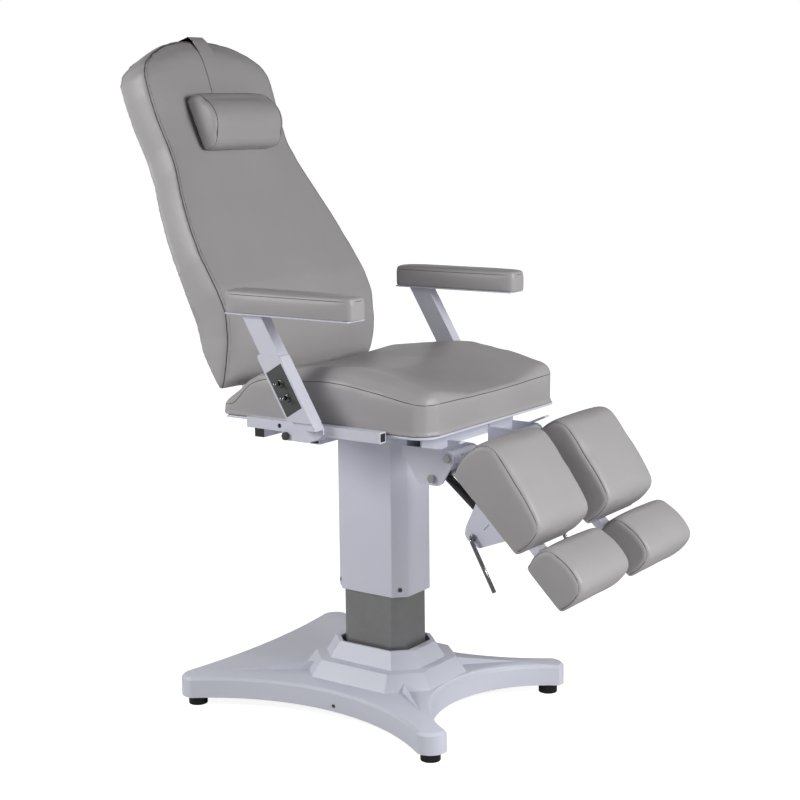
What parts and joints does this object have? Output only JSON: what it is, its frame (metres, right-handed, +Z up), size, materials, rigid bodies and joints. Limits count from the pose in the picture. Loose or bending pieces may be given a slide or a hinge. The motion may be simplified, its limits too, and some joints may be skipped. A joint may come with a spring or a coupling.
{
  "type": "podiatry chair",
  "caption": "Treatment chair on a lifting column with tilting back, folding arm rests and separate tilting leg rests with sliding foot rests.",
  "frame": {"origin": "on the floor under the column's axis", "axes": "+X towards the foot rests, +Y to the sitter's left, +Z up"},
  "size_m": [1.2642, 0.7137, 1.5386],
  "materials": {
    "upholstery": "coated leatherette cloth, satin",
    "white_paint": "semi-gloss powder coat",
    "cover_plastic": "semi-gloss moulded",
    "grey_tube": "satin metallic grey",
    "dark_steel": "matte black",
    "guide_plastic": "matte",
    "foot_rubber": "moulded black",
    "black_plastic": "satin",
    "zinc_steel": "zinc plated",
    "chrome": "polished",
    "black_steel": "gloss black",
    "dark_panel": "satin dark grey",
    "back_shell": "covered board"
  },
  "bodies": {
    "base": {"base_cover": "cover_plastic", "base_cover_screws": "zinc_steel", "base_frame": "dark_steel", "mains_gland": "black_plastic", "column_lower_tube": "grey_tube", "column_flange_bolts": "zinc_steel", "tube_guide_pads": "guide_plastic", "lift_drive_body": "black_plastic"},
    "lift": {"column_sleeve": "white_paint", "sleeve_guide_pads": "guide_plastic", "guide_screws": "zinc_steel", "lift_drive_rod": "zinc_steel", "column_head_plate": "white_paint", "seat_frame": "white_paint", "frame_end_plugs": "black_plastic", "seat_plate": "white_paint", "seat_cushion": "upholstery", "leg_bracket_right": "white_paint", "leg_bracket_left": "white_paint", "leg_bracket_bolts": "zinc_steel", "arm_pivot_bolts": "zinc_steel", "back_hinge_pins": "zinc_steel"},
    "backrest": {"back_cushion": "upholstery", "back_board": "back_shell", "back_arm_right": "white_paint", "back_arm_left": "white_paint", "back_cross_bars": "white_paint", "pillow_strap": "upholstery"},
    "pillow": {"pillow": "upholstery"},
    "back_drive": {"back_drive_body": "black_plastic"},
    "back_drive_piston": {"back_drive_rod": "zinc_steel"},
    "arm_right": {"arm_frame_right": "white_paint", "arm_pad_right": "upholstery", "control_box": "white_paint", "control_panel": "dark_panel", "switch_bodies": "guide_plastic"},
    "arm_left": {"arm_frame_left": "white_paint", "arm_pad_left": "upholstery"},
    "toggle_upper": {"toggle_upper": "chrome"},
    "toggle_lower": {"toggle_lower": "chrome"},
    "leg_right": {"leg_frame_right": "white_paint", "calf_pad_right": "upholstery", "release_plate_right": "white_paint"},
    "foot_rest_right": {"foot_slide_right": "white_paint", "foot_pad_right": "upholstery"},
    "strut_right": {"strut_cylinder_right": "black_steel"},
    "strut_piston_right": {"strut_rod_right": "zinc_steel"},
    "lever_right": {"release_lever_right": "chrome"},
    "levelling_rear_right": {"levelling_foot_rear_right": "foot_rubber"},
    "levelling_front_right": {"levelling_foot_front_right": "foot_rubber"},
    "leg_left": {"leg_frame_left": "white_paint", "calf_pad_left": "upholstery", "release_plate_left": "white_paint"},
    "foot_rest_left": {"foot_slide_left": "white_paint", "foot_pad_left": "upholstery"},
    "strut_left": {"strut_cylinder_left": "black_steel"},
    "strut_piston_left": {"strut_rod_left": "zinc_steel"},
    "lever_left": {"release_lever_left": "chrome"},
    "levelling_rear_left": {"levelling_foot_rear_left": "foot_rubber"},
    "levelling_front_left": {"levelling_foot_front_left": "foot_rubber"}
  },
  "joints": [
    {"name": "column_lift", "type": "slide", "parent": "base", "child": "lift", "axis": [0, 0, 1], "range_m": [-0.105, 0.175]},
    {"name": "back_tilt", "type": "hinge", "parent": "lift", "child": "backrest", "pos_m": [-0.205, 0, 0.676], "axis": [0, -1, 0], "range_deg": [-5, 60]},
    {"name": "back_drive_swing", "type": "hinge", "parent": "lift", "child": "back_drive", "pos_m": [0.09, 0.132, 0.64], "axis": [0, -1, 0], "range_deg": [-1.5, 5]},
    {"name": "back_drive_stroke", "type": "slide", "parent": "back_drive", "child": "back_drive_piston", "axis": [-0.9979, 0, -0.0651], "range_m": [-0.075, 0.012]},
    {"name": "pillow_height", "type": "slide", "parent": "backrest", "child": "pillow", "axis": [-0.3237, 0, 0.9462], "range_m": [-0.005, 0.03]},
    {"name": "arm_right_fold", "type": "hinge", "parent": "lift", "child": "arm_right", "pos_m": [-0.035, -0.303, 0.677], "axis": [0, -1, 0], "range_deg": [0, 80]},
    {"name": "leg_right_tilt", "type": "hinge", "parent": "lift", "child": "leg_right", "pos_m": [0.299, -0.135, 0.643], "axis": [0, -1, 0], "range_deg": [-20, 44]},
    {"name": "strut_right_swing", "type": "hinge", "parent": "lift", "child": "strut_right", "pos_m": [0.26, -0.135, 0.596], "axis": [0, -1, 0], "range_deg": [-19, 42]},
    {"name": "strut_right_stroke", "type": "slide", "parent": "strut_right", "child": "strut_piston_right", "axis": [0.7778, 0, -0.6285], "range_m": [-0.025, 0.05]},
    {"name": "foot_rest_right_slide", "type": "slide", "parent": "leg_right", "child": "foot_rest_right", "axis": [0.712, 0, -0.7022], "range_m": [-0.012, 0.12]},
    {"name": "lever_right_press", "type": "hinge", "parent": "leg_right", "child": "lever_right", "pos_m": [0.34544, -0.135, 0.47361], "axis": [0, -1, 0], "range_deg": [0, 18], "stiffness_Nm_per_rad": 2, "springref_deg": -14.32},
    {"name": "levelling_rear_right_screw", "type": "slide", "parent": "base", "child": "levelling_rear_right", "axis": [0, 0, -1], "range_m": [-0.004, 0.012]},
    {"name": "levelling_front_right_screw", "type": "slide", "parent": "base", "child": "levelling_front_right", "axis": [0, 0, -1], "range_m": [-0.004, 0.012]},
    {"name": "arm_left_fold", "type": "hinge", "parent": "lift", "child": "arm_left", "pos_m": [-0.035, 0.303, 0.677], "axis": [0, -1, 0], "range_deg": [0, 80]},
    {"name": "leg_left_tilt", "type": "hinge", "parent": "lift", "child": "leg_left", "pos_m": [0.299, 0.135, 0.643], "axis": [0, -1, 0], "range_deg": [-20, 44]},
    {"name": "strut_left_swing", "type": "hinge", "parent": "lift", "child": "strut_left", "pos_m": [0.26, 0.135, 0.596], "axis": [0, -1, 0], "range_deg": [-19, 42]},
    {"name": "strut_left_stroke", "type": "slide", "parent": "strut_left", "child": "strut_piston_left", "axis": [0.7778, 0, -0.6285], "range_m": [-0.025, 0.05]},
    {"name": "foot_rest_left_slide", "type": "slide", "parent": "leg_left", "child": "foot_rest_left", "axis": [0.712, 0, -0.7022], "range_m": [-0.012, 0.12]},
    {"name": "lever_left_press", "type": "hinge", "parent": "leg_left", "child": "lever_left", "pos_m": [0.34544, 0.135, 0.47361], "axis": [0, -1, 0], "range_deg": [0, 18], "stiffness_Nm_per_rad": 2, "springref_deg": -14.32},
    {"name": "levelling_rear_left_screw", "type": "slide", "parent": "base", "child": "levelling_rear_left", "axis": [0, 0, -1], "range_m": [-0.004, 0.012]},
    {"name": "levelling_front_left_screw", "type": "slide", "parent": "base", "child": "levelling_front_left", "axis": [0, 0, -1], "range_m": [-0.004, 0.012]},
    {"name": "toggle_upper_tip", "type": "hinge", "parent": "arm_right", "child": "toggle_upper", "pos_m": [-0.02062, -0.33925, 0.79716], "axis": [0.8562, 0, 0.5166], "range_deg": [-12, 12], "stiffness_Nm_per_rad": 0.4},
    {"name": "toggle_lower_tip", "type": "hinge", "parent": "arm_right", "child": "toggle_lower", "pos_m": [-0.00306, -0.33925, 0.76805], "axis": [0.8562, 0, 0.5166], "range_deg": [-12, 12], "stiffness_Nm_per_rad": 0.4}
  ],
  "couplings": [
    {"joint": "back_drive_swing", "follows": "back_tilt", "ratio": 0.062},
    {"joint": "back_drive_stroke", "follows": "back_tilt", "m_per_rad": -0.065},
    {"joint": "strut_right_swing", "follows": "leg_right_tilt", "ratio": 0.925},
    {"joint": "strut_right_stroke", "follows": "leg_right_tilt", "m_per_rad": 0.061},
    {"joint": "strut_left_swing", "follows": "leg_left_tilt", "ratio": 0.925},
    {"joint": "strut_left_stroke", "follows": "leg_left_tilt", "m_per_rad": 0.061}
  ]
}
